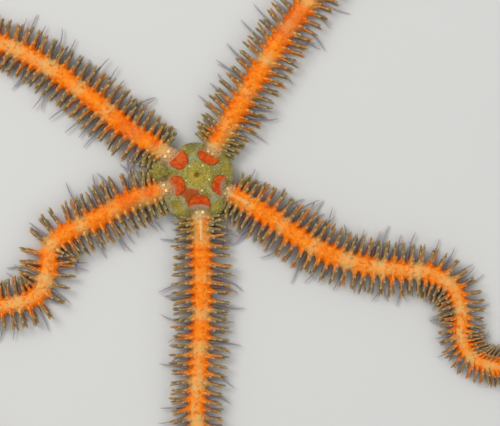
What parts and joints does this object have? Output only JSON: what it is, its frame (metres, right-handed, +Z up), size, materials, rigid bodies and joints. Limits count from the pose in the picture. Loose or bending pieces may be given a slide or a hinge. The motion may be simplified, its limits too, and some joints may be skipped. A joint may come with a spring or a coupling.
{
  "type": "brittle star",
  "caption": "Spiny brittle star laid flat in a crawling pose, with a small lobed disc and long slender arms edged by rows of blunt spines, curling towards their tips",
  "frame": {"origin": "the middle of the mouth on the underside of the disc, at the level of the floor", "axes": "+Z is up, away from the mouth; the picture looks straight down with +X to its right and +Y to its top"},
  "size_m": [0.1342, 0.1176, 0.0048],
  "materials": {
    "disc_skin": "satin",
    "arm_skin": "satin"
  },
  "bodies": {
    "root": {"disc": "disc_skin", "arm_1_length_1": "arm_skin", "arm_1_length_2": "arm_skin", "arm_1_length_3": "arm_skin", "arm_1_length_4": "arm_skin", "arm_2_length_1": "arm_skin", "arm_2_length_2": "arm_skin", "arm_2_length_3": "arm_skin", "arm_2_length_4": "arm_skin", "arm_2_length_5": "arm_skin", "arm_2_length_6": "arm_skin", "arm_3_length_1": "arm_skin", "arm_3_length_2": "arm_skin", "arm_3_length_3": "arm_skin", "arm_3_length_4": "arm_skin", "arm_4_length_1": "arm_skin", "arm_4_length_2": "arm_skin", "arm_4_length_3": "arm_skin", "arm_4_length_4": "arm_skin", "arm_4_length_5": "arm_skin", "arm_4_length_6": "arm_skin", "arm_5_length_1": "arm_skin", "arm_5_length_2": "arm_skin", "arm_5_length_3": "arm_skin", "arm_5_length_4": "arm_skin"}
  },
  "joints": []
}
